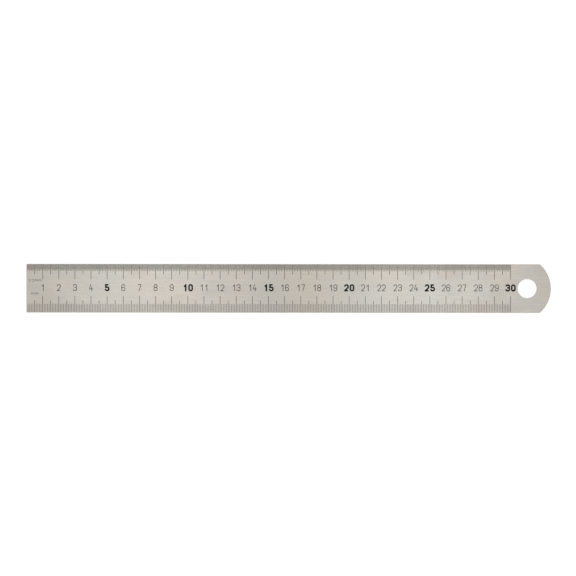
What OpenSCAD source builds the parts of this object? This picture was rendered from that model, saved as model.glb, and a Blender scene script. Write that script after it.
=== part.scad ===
// Steel rule with a half-millimetre scale on one long edge and a millimetre scale on the other.
// The origin is on the ground zero end, at mid-width, on the underside. X runs along the scale, so a
// point's X is its reading, Y runs across the blade towards the half-millimetre edge, and Z is up,
// out of the marked face. The marks are thin black deposits that lie on the face of the blade.

/* [Blade] */
// Reading at the last graduation
scale_length = 300; // [60:10:300]
// Length of the plain end beyond the last graduation
tail_length = 25; // [25:1:40]
// Width across the two marked edges
blade_width = 30; // [28:1:38]
// Thickness of the strip
thickness = 1; // [0.8:0.1:2]
// Size of the small flat that takes the sharpness off each long edge
edge_break = 0.15; // [0.12:0.01:0.2]
// Radius of the arc that ends the blade
end_radius = 20; // [20:1:25]

/* [Hanging hole] */
// Diameter of the hanging hole
hole_diameter = 12; // [6:0.5:12]
// Distance from the tip of the blade to the centre of the hole
hole_inset = 14.6; // [11:0.1:14.6]
// Size of the flat that takes the burr off each rim of the hole
hole_break = 0.1; // [0.05:0.01:0.2]

/* [Marks] */
// Thickness of the black marks on the face
mark_height = 0.02; // [0.01:0.005:0.05]

/* [Graduations] */
// Width of the half-millimetre and millimetre lines
fine_line = 0.22; // [0.12:0.01:0.24]
// Width of the five-millimetre and centimetre lines
main_line = 0.27; // [0.12:0.01:0.27]
// Length of the half-millimetre lines on the upper scale, from the edge of the blade
upper_half_mm = 3.4; // [2:0.1:3.5]
// Length of the millimetre lines on the upper scale
upper_mm = 4.4; // [4:0.1:5]
// Length of the five-millimetre lines on the upper scale
upper_five_mm = 6.4; // [5.5:0.1:7]
// Length of the centimetre lines on the upper scale
upper_cm = 9.5; // [8:0.1:10]
// Length of the millimetre lines on the lower scale
lower_mm = 5.3; // [4:0.1:6]
// Length of the five-millimetre lines on the lower scale
lower_five_mm = 7.4; // [6.5:0.1:8]
// Length of the centimetre lines on the lower scale
lower_cm = 10.2; // [9:0.1:10.5]

/* [Numerals] */
// Distance from mid-width up to the middle of the numerals
numeral_y = 0.4; // [0:0.1:0.6]
// Height of the light numerals
light_height = 4.2; // [3:0.1:4.5]
// Width of one light digit
light_width = 2.35; // [2:0.05:2.8]
// Stroke of the light numerals
light_stroke = 0.41; // [0.25:0.01:0.45]
// Height of the bold numerals
bold_height = 4.5; // [4:0.1:4.7]
// Width of one bold digit
bold_width = 2.95; // [2.8:0.05:3.2]
// Stroke of the bold numerals
bold_stroke = 0.98; // [0.5:0.01:1]
// Centimetres from one bold numeral to the next
bold_step = 5; // [5:5:10]

/* [Unit labels] */
// Middle of both unit labels along the scale
label_x = 5.1; // [5:0.1:5.3]
// Height of the tall figures in the labels
label_height = 1.6; // [1.2:0.1:1.6]
// Stroke of the labels
label_stroke = 0.2; // [0.15:0.01:0.22]
// Middle of the upper label, up from mid-width
upper_label_y = 4.8; // [4.4:0.1:4.9]
// Middle of the lower label, down from mid-width
lower_label_y = 3.3; // [3:0.1:3.6]

/* [Hidden] */
$fn = 96;
STEEL = [0.76, 0.74, 0.70];
INK = [0.06, 0.06, 0.06];

length = scale_length + tail_length;
half_width = blade_width / 2;
over = 1;                                // how far a solid runs past the surface that it trims
arc_steps = 6;                           // chords in each rounded corner of a digit
digit_gap = 0.5;                         // gap between the two digits of a number
letter_width = label_height * 1.15;
letter_height = label_height * 0.7;
letter_gap = 0.35;
last_cm = floor(scale_length / 10);

// Readings of each kind of line
half_mm_marks = [for (i = [0:scale_length - 1]) i + 0.5];
mm_marks = [for (i = [1:scale_length]) if (i % 5 != 0) i];
five_mm_marks = [for (i = [5:10:scale_length]) i];
cm_marks = [for (i = [10:10:scale_length]) i];

// ---------- Strokes ----------
// A stroke is a list of [x, y, r] points: a corner at x, y, rounded to radius r along its middle.

function unit(v) = v / norm(v);
function left_of(v) = [-v.y, v.x];
function flat(v) = [v.x, v.y];

// The middle line round one corner, from the points before and after it. The rounding uses up no
// more than the shares share_in and share_out of the straights on its two sides.
function corner(before, p, after, wanted_r, share_in, share_out) =
    let (into = unit(p - before), out = unit(after - p),
         turn = acos(max(-1, min(1, into * out))),
         room = min(share_in * norm(p - before), share_out * norm(after - p)),
         reach = min(wanted_r * tan(turn / 2), room),
         r = reach / tan(turn / 2),
         side = sign(into.x * out.y - into.y * out.x),
         centre = p - into * reach + side * left_of(into) * r)
    wanted_r == 0 || turn == 0 ? [p] :
    [for (i = [0:arc_steps]) let (a = side * turn * i / arc_steps,
        spoke = -side * left_of(into) * r)
        centre + [spoke.x * cos(a) - spoke.y * sin(a), spoke.x * sin(a) + spoke.y * cos(a)]];

// The whole middle line; a closed one comes back to its first point
function middle_line(points, closed) =
    let (n = len(points))
    [for (i = [0:n - 1]) each !closed && (i == 0 || i == n - 1) ? [flat(points[i])] :
        corner(flat(points[(i + n - 1) % n]), flat(points[i]), flat(points[(i + 1) % n]), points[i].z,
            !closed && i == 1 ? 0.95 : 0.49, !closed && i == n - 2 ? 0.95 : 0.49)];

// The middle line moved sideways by d, with mitred corners
function beside(line, d, closed) =
    let (n = len(line))
    [for (i = [0:n - 1])
        let (into = unit(closed || i > 0 ? line[i] - line[(i + n - 1) % n] : line[1] - line[0]),
             out = unit(closed || i < n - 1 ? line[(i + 1) % n] - line[i] : line[i] - line[i - 1]),
             side = left_of(into) + left_of(out))
        line[i] + side * d / (1 + into * out)];

module stroke(points, width) {
    line = middle_line(points, false);
    back = beside(line, -width / 2, false);
    polygon(concat(beside(line, width / 2, false), [for (i = [len(back) - 1:-1:0]) back[i]]));
}

module ring(points, width) {
    line = middle_line(points, true);
    difference() {
        polygon(beside(line, -width / 2, true));
        polygon(beside(line, width / 2, true));
    }
}

// ---------- Digits ----------
// Each digit is drawn in a box from -1 to 1 both ways, which is stretched to a and b, half the
// width and height of its middle line. r is the corner radius as a share of a. A stroke that runs
// past the box is cut off flat at the top or bottom of the digit.

// The open strokes of 0 to 9
OPEN_STROKES = [
    [],
    [[[-0.6, 0.34, 0], [0.42, 1, 0], [0.42, -1.5, 0]]],
    [[[-1, 0.42, 0], [-1, 1, 0.95], [1, 1, 0.95], [1, 0.1, 0.6], [-1, -1, 0], [1, -1, 0]]],
    [[[-1, 0.48, 0], [-1, 1, 0.8], [1, 1, 0.8], [1, 0.06, 0.7], [-0.35, 0.06, 0]],
     [[-0.35, 0.06, 0], [1, 0.06, 0.7], [1, -1, 0.8], [-1, -1, 0.8], [-1, -0.46, 0]]],
    [[[0.25, 1.5, 0], [-1, -0.42, 0], [1.3, -0.42, 0]], [[0.5, 0.16, 0], [0.5, -1.5, 0]]],
    [[[0.85, 1, 0], [-0.85, 1, 0], [-0.85, 0.14, 0], [1, 0.14, 0.8], [1, -1, 0.8], [-1, -1, 0.8],
      [-1, -0.42, 0]]],
    [[[1, 0.42, 0], [1, 1, 0.9], [-1, 1, 0.9], [-1, -1, 0.85], [1, -1, 0.85], [1, -0.44, 0]],
     [[1, -0.44, 0], [1, 0.12, 0.85], [-1, 0.12, 0]]],
    [[[-1, 1, 0], [1, 1, 0], [-0.5, -1.5, 0]]],
    [],
    [[[-1, -0.42, 0], [-1, -1, 0.9], [1, -1, 0.9], [1, 1, 0.85], [-1, 1, 0.85], [-1, 0.44, 0]],
     [[-1, 0.44, 0], [-1, -0.12, 0.85], [1, -0.12, 0]]]];

// The closed strokes of 0 to 9
RINGS = [
    [[[-1, -1, 0.9], [1, -1, 0.9], [1, 1, 0.9], [-1, 1, 0.9]]],
    [], [], [], [], [], [], [],
    [[[-1, -1, 0.85], [1, -1, 0.85], [1, 0.1, 0.85], [-1, 0.1, 0.85]],
     [[-0.9, 0.02, 0.8], [0.9, 0.02, 0.8], [0.9, 1, 0.8], [-0.9, 1, 0.8]]],
    []];

module digit(value, width, height, stroke_width) {
    a = (width - stroke_width) / 2;
    b = (height - stroke_width) / 2;
    intersection() {
        square([width, height], center = true);
        union() {
            for (s = OPEN_STROKES[value]) stroke([for (p = s) [p.x * a, p.y * b, p.z * a]], stroke_width);
            for (s = RINGS[value]) ring([for (p = s) [p.x * a, p.y * b, p.z * a]], stroke_width);
        }
    }
}

// A whole number of one or two digits, centred on its own middle
module number(value, width, height, stroke_width) {
    digits = value < 10 ? [value] : [floor(value / 10), value % 10];
    for (i = [0:len(digits) - 1])
        translate([(i - (len(digits) - 1) / 2) * (width + digit_gap), 0])
            digit(digits[i], width, height, stroke_width);
}

// A small letter m on the line y = 0
module letter_m(width, height, stroke_width) {
    a = (width - stroke_width) / 2;
    top = height - stroke_width / 2;
    stroke([[-a, 0, 0], [-a, height, 0]], stroke_width);
    for (x = [-a, 0])
        stroke([[x, height / 2, 0], [x, top, a / 3], [x + a, top, a / 3], [x + a, 0, 0]], stroke_width);
}

// Two letters m side by side
module letters_mm() {
    for (side = [-1, 1])
        translate([side * (letter_width + letter_gap) / 2, 0])
            letter_m(letter_width, letter_height, label_stroke);
}

// ---------- Marks ----------

// Sets flat outlines on the face of the blade, as a mark
module mark() {
    translate([0, 0, thickness]) linear_extrude(mark_height) children();
}

// Lines at the given readings, from the edge of the face at +Y inwards
module graduations(readings, line_length, line_width) {
    for (x = readings)
        translate([x - line_width / 2, half_width - line_length, thickness])
            cube([line_width, line_length - edge_break, mark_height]);
}

// ---------- Sub-parts ----------

module strip() {
    rotate([90, 0, 90]) linear_extrude(length) polygon([
        [edge_break - half_width, 0], [half_width - edge_break, 0],
        [half_width, edge_break], [half_width, thickness - edge_break],
        [half_width - edge_break, thickness], [edge_break - half_width, thickness],
        [-half_width, thickness - edge_break], [-half_width, edge_break]]);
}

// Everything inside the end arc, whose rim is broken like the long edges
module inside_end_arc() {
    centre_x = length - end_radius;
    translate([-over, -end_radius, -over])
        cube([centre_x + over, 2 * end_radius, thickness + 2 * over]);
    translate([centre_x, 0, 0]) rotate_extrude() polygon([
        [0, 0], [end_radius - edge_break, 0], [end_radius, edge_break],
        [end_radius, thickness - edge_break], [end_radius - edge_break, thickness], [0, thickness]]);
}

module hanging_hole() {
    r = hole_diameter / 2;
    rim = r + hole_break + over;
    translate([length - hole_inset, 0, 0]) rotate_extrude() polygon([
        [0, -over], [rim, -over], [r, hole_break], [r, thickness - hole_break],
        [rim, thickness + over], [0, thickness + over]]);
}

module blade() {
    color(STEEL) difference() {
        intersection() {
            strip();
            inside_end_arc();
        }
        hanging_hole();
    }
}

module upper_half_mm_lines() {
    color(INK) graduations(half_mm_marks, upper_half_mm, fine_line);
}

module upper_mm_lines() {
    color(INK) graduations(mm_marks, upper_mm, fine_line);
}

module upper_five_mm_lines() {
    color(INK) graduations(five_mm_marks, upper_five_mm, main_line);
}

module upper_cm_lines() {
    color(INK) graduations(cm_marks, upper_cm, main_line);
}

module lower_mm_lines() {
    color(INK) mirror([0, 1, 0]) graduations(mm_marks, lower_mm, fine_line);
}

module lower_five_mm_lines() {
    color(INK) mirror([0, 1, 0]) graduations(five_mm_marks, lower_five_mm, main_line);
}

module lower_cm_lines() {
    color(INK) mirror([0, 1, 0]) graduations(cm_marks, lower_cm, main_line);
}

module light_numerals() {
    color(INK) for (cm = [1:last_cm]) if (cm % bold_step != 0)
        translate([cm * 10, numeral_y, 0])
            mark() number(cm, light_width, light_height, light_stroke);
}

module bold_numerals() {
    color(INK) for (cm = [bold_step:bold_step:last_cm])
        translate([cm * 10, numeral_y, 0])
            mark() number(cm, bold_width, bold_height, bold_stroke);
}

// 1/2 mm, with the letters raised a little off the line that the figures stand on
module upper_unit_label() {
    figure_width = label_height * 0.65;
    color(INK) translate([label_x, upper_label_y, 0]) mark() {
        translate([-3.45, 0]) digit(1, figure_width, label_height, label_stroke);
        stroke([[-2.65, -label_height / 2, 0], [-1.75, label_height / 2, 0]], label_stroke);
        translate([-0.85, 0]) digit(2, figure_width, label_height, label_stroke);
        translate([2.15, -label_height * 0.35]) letters_mm();
    }
}

module lower_unit_label() {
    color(INK) translate([label_x, -lower_label_y - letter_height / 2, 0]) mark() letters_mm();
}

blade();
upper_half_mm_lines();
upper_mm_lines();
upper_five_mm_lines();
upper_cm_lines();
lower_mm_lines();
lower_five_mm_lines();
lower_cm_lines();
light_numerals();
bold_numerals();
upper_unit_label();
lower_unit_label();
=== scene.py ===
"""A steel ruler lying on a pale floor, seen from straight above under soft studio light."""
from math import pi, radians

import bpy
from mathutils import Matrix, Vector


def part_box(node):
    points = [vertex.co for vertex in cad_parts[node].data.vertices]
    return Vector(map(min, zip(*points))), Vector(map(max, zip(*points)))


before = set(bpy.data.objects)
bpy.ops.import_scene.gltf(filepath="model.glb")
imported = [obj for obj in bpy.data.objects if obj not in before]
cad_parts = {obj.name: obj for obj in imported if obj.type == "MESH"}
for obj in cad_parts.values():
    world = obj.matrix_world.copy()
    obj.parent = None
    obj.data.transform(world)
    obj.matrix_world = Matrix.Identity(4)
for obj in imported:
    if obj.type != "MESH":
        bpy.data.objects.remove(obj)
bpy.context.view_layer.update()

MM = 0.001

# The frame's own measures, in metres
blade_low, blade_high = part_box("blade")
LENGTH = blade_high.x - blade_low.x
FACE_Z = blade_high.z
MIDDLE = Vector(((blade_low.x + blade_high.x) / 2, (blade_low.y + blade_high.y) / 2, FACE_Z))

# Colours of the steel: where it looks warm, where it looks cool, in its grain and on a scratch
STEEL_WARM = (0.461, 0.423, 0.372, 1.0)
STEEL_COOL = (0.444, 0.423, 0.386, 1.0)
STEEL_DULL = (0.262, 0.242, 0.220, 1.0)
STEEL_BRIGHT = (0.62, 0.60, 0.555, 1.0)

# Feature sizes of the patterns along the blade, across it and through it, in metres
GRAIN = (9 * MM, 0.07 * MM, 0.07 * MM)
STREAKS = (60 * MM, 0.6 * MM, 0.6 * MM)
MOTTLE = (11 * MM, 7 * MM, 7 * MM)
TINT = (34 * MM, 17 * MM, 17 * MM)
SMUDGES = (46 * MM, 21 * MM, 21 * MM)
HAIRLINES = (24 * MM, 0.16 * MM, 0.16 * MM)
PATCHES = (2.2 * MM, 0.9 * MM, 0.9 * MM)
PORES = (0.09 * MM, 0.07 * MM, 0.07 * MM)
FIBRES = (2 * MM, 2 * MM, 2 * MM)

# Depths of the relief in the surfaces, in metres
GRAIN_DEPTH = 0.0016 * MM
SCRATCH_DEPTH = 0.002 * MM
PORE_DEPTH = 0.004 * MM

SHEET_HALF = 6.0                  # half the side of the floor, in metres
SHEET_GAP = 0.05 * MM             # from the underside of the blade down to the floor
SHEET_GLOW = 0.26                 # keeps the floor white right up to the blade

WARM_LIGHT = (1.0, 0.992, 0.975)
COOL_LIGHT = (0.92, 1.0, 1.08)
CEILING_HEIGHT = 2.4
CEILING_SIDE = 3.2
CEILING_RADIANCE = 0.43
BOX_HEIGHT = 1.6
BOX_SIZE = (0.26, 0.9)
ROOM_RADIANCE = 0.735

LENS_MM = 100.0
SENSOR_MM = 36.0
VIEW_WIDTH = LENGTH * 1.0985
CAMERA_SHIFT = (-0.4 * MM, 0.25 * MM)
CAMERA_TURN = radians(0.05)


# ---------- Node helpers ----------

class Shader:
    """Adds nodes to one new material and links them by name."""

    def __init__(self, name):
        self.material = bpy.data.materials.new(name)
        self.material.use_nodes = True
        self.tree = self.material.node_tree
        self.surface = self.tree.nodes["Principled BSDF"]
        self.place = self.tree.nodes.new("ShaderNodeTexCoord").outputs["Object"]

    def add(self, kind, links, **settings):
        """Adds a node; links gives each of its sockets a value or another node's output."""
        node = self.tree.nodes.new(kind)
        for key, value in settings.items():
            setattr(node, key, value)
        for socket, source in links.items():
            self.put(node.inputs[socket], source)
        return node

    def put(self, socket, source):
        if isinstance(source, bpy.types.NodeSocket):
            self.tree.links.new(source, socket)
        else:
            socket.default_value = source

    def noise(self, sizes, detail=3.0, roughness=0.55, seed=0.0):
        """Noise whose features measure about sizes, in metres, along x, y and z. It runs from 0 to 1."""
        scaled = self.add("ShaderNodeMapping", {
            "Vector": self.place,
            "Location": (seed, seed * 0.7, seed * 1.3),
            "Scale": tuple(1.0 / s for s in sizes)})
        return self.add("ShaderNodeTexNoise", {
            "Vector": scaled.outputs["Vector"], "Scale": 1.0,
            "Detail": detail, "Roughness": roughness}).outputs["Fac"]

    def spread(self, value, low, high, to_low, to_high):
        """Maps value from low..high to to_low..to_high, clamped."""
        return self.add("ShaderNodeMapRange", {
            "Value": value, "From Min": low, "From Max": high,
            "To Min": to_low, "To Max": to_high}).outputs["Result"]

    def share(self, value, low, high, most):
        """Maps value from low..high to 0..most, clamped."""
        return self.spread(value, low, high, 0.0, most)

    def maths(self, operation, a, b):
        return self.add("ShaderNodeMath", {0: a, 1: b}, operation=operation).outputs[0]

    def blend(self, factor, a, b):
        """The colour a where factor is 0, and b where it is 1."""
        node = self.add("ShaderNodeMix", {}, data_type="RGBA")
        self.put(node.inputs["Factor"], factor)
        self.put(node.inputs["A"], a)
        self.put(node.inputs["B"], b)
        return node.outputs["Result"]

    def bump(self, height, depth, strength, under=None):
        """The normal of a relief depth high, laid over the normal under."""
        links = {"Height": height, "Distance": depth, "Strength": strength}
        if under is not None:
            links["Normal"] = under
        return self.add("ShaderNodeBump", links).outputs["Normal"]

    def finish(self, **inputs):
        """Sets the surface's own sockets, and returns the material."""
        for socket, source in inputs.items():
            self.put(self.surface.inputs[socket.replace("_", " ")], source)
        return self.material


def grey(value):
    return (value, value, value, 1.0)


# ---------- Materials ----------

def brushed_steel():
    """Satin stainless steel: grain along the blade, faint mottling, hairline scratches and smudges."""
    s = Shader("satin_stainless_steel")
    grain = s.noise(GRAIN, detail=4.0, roughness=0.65)
    streaks = s.noise(STREAKS, seed=3.1)
    mottle = s.noise(MOTTLE, detail=4.0, roughness=0.6, seed=7.7)
    tint = s.noise(TINT, detail=2.0, seed=12.4)
    smudges = s.noise(SMUDGES, detail=5.0, roughness=0.62, seed=21.9)
    hairlines = s.noise(HAIRLINES, detail=1.0, seed=33.3)

    colour = s.blend(s.share(tint, 0.36, 0.64, 1.0), STEEL_WARM, STEEL_COOL)
    colour = s.blend(s.share(mottle, 0.3, 0.7, 0.09), colour, STEEL_DULL)
    colour = s.blend(s.share(streaks, 0.3, 0.7, 0.10), colour, STEEL_DULL)
    colour = s.blend(s.share(grain, 0.3, 0.75, 0.22), colour, STEEL_DULL)
    scratches = s.share(hairlines, 0.70, 0.76, 1.0)
    colour = s.blend(s.maths("MULTIPLY", scratches, 0.35), colour, STEEL_BRIGHT)

    rough = s.spread(grain, 0.25, 0.75, 0.23, 0.31)
    rough = s.maths("ADD", rough, s.share(smudges, 0.5, 0.72, 0.07))
    rough = s.maths("SUBTRACT", rough, s.maths("MULTIPLY", scratches, 0.08))

    normal = s.bump(grain, GRAIN_DEPTH, 0.9)
    normal = s.bump(scratches, -SCRATCH_DEPTH, 0.6, under=normal)
    across = s.add("ShaderNodeTangent", {}, direction_type="RADIAL", axis="X").outputs["Tangent"]
    return s.finish(Base_Color=colour, Metallic=1.0, Roughness=rough, Anisotropic=0.8,
                    Tangent=across, Normal=normal)


def black_film(name, ink, worn):
    """The matt black film of the marks, a little thin and grey in places."""
    s = Shader(name)
    patches = s.noise(PATCHES, detail=4.0, roughness=0.6, seed=5.5)
    pores = s.noise(PORES, seed=9.2)
    colour = s.blend(s.share(patches, 0.42, 0.72, 0.7), ink, worn)
    colour = s.blend(s.share(pores, 0.62, 0.75, 0.5), colour, worn)
    rough = s.spread(patches, 0.3, 0.7, 0.5, 0.72)
    return s.finish(Base_Color=colour, Roughness=rough, Specular_IOR_Level=0.12,
                    Normal=s.bump(pores, PORE_DEPTH, 0.7))


def dress(node, material):
    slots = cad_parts[node].data.materials
    slots.clear()
    slots.append(material)


steel = brushed_steel()
line_ink = black_film("black_line_film", (0.009, 0.010, 0.014, 1.0), (0.031, 0.033, 0.039, 1.0))
light_ink = black_film("black_light_numeral_film",
                       (0.060, 0.054, 0.046, 1.0), (0.110, 0.100, 0.087, 1.0))
bold_ink = black_film("black_bold_numeral_film", grey(0.002), grey(0.006))
MATERIALS = {
    "blade": steel,
    "light_numerals": light_ink,
    "upper_unit_label": light_ink,
    "lower_unit_label": light_ink,
    "bold_numerals": bold_ink,
}
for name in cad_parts:
    dress(name, MATERIALS.get(name, line_ink))


# ---------- Floor ----------

def floor():
    """A matt white sheet, a hair below the underside of the blade."""
    mesh = bpy.data.meshes.new("floor")
    corners = [(x * SHEET_HALF, y * SHEET_HALF, 0) for x, y in ((-1, -1), (1, -1), (1, 1), (-1, 1))]
    mesh.from_pydata(corners, [], [(0, 1, 2, 3)])
    sheet = bpy.data.objects.new("floor", mesh)
    sheet.location = (MIDDLE.x, MIDDLE.y, blade_low.z - SHEET_GAP)
    bpy.context.scene.collection.objects.link(sheet)
    s = Shader("white_paper")
    fibres = s.noise(FIBRES, detail=4.0)
    mesh.materials.append(s.finish(
        Base_Color=s.blend(s.share(fibres, 0.3, 0.7, 1.0), grey(0.93), grey(0.96)),
        Roughness=0.9, Emission_Color=grey(1.0), Emission_Strength=SHEET_GLOW))


floor()


# ---------- Light ----------

def softbox(name, place, size_x, size_y, radiance, colour):
    """A rectangular area light that faces down."""
    light = bpy.data.lights.new(name, "AREA")
    light.color = colour
    light.shape = "RECTANGLE"
    light.size = size_x
    light.size_y = size_y
    light.energy = radiance * pi * size_x * size_y
    box = bpy.data.objects.new(name, light)
    box.location = place
    box.visible_camera = False
    bpy.context.scene.collection.objects.link(box)


softbox("ceiling", (MIDDLE.x, MIDDLE.y, CEILING_HEIGHT), CEILING_SIDE, CEILING_SIDE,
        CEILING_RADIANCE, WARM_LIGHT)
# Each box makes one bright stretch of the blade; along is in blade lengths from its middle
for name, along, radiance in (("left_box", -0.70, 0.725), ("right_box", 0.69, 0.80)):
    softbox(name, (MIDDLE.x + along * LENGTH, MIDDLE.y, BOX_HEIGHT), *BOX_SIZE, radiance, COOL_LIGHT)

world = bpy.data.worlds.new("studio")
world.use_nodes = True
room = world.node_tree.nodes["Background"].inputs
room["Color"].default_value = (*WARM_LIGHT, 1.0)
room["Strength"].default_value = ROOM_RADIANCE
bpy.context.scene.world = world


# ---------- Camera ----------

def camera():
    """Straight above the blade, far enough back that the blade looks flat, with zero at the left."""
    lens = bpy.data.cameras.new("camera")
    lens.sensor_width = SENSOR_MM
    lens.lens = LENS_MM
    eye = bpy.data.objects.new("camera", lens)
    eye.location = MIDDLE + Vector((*CAMERA_SHIFT, VIEW_WIDTH * LENS_MM / SENSOR_MM))
    eye.rotation_euler.z = CAMERA_TURN
    bpy.context.scene.collection.objects.link(eye)
    bpy.context.scene.camera = eye


camera()
bpy.context.scene.view_settings.view_transform = "Standard"
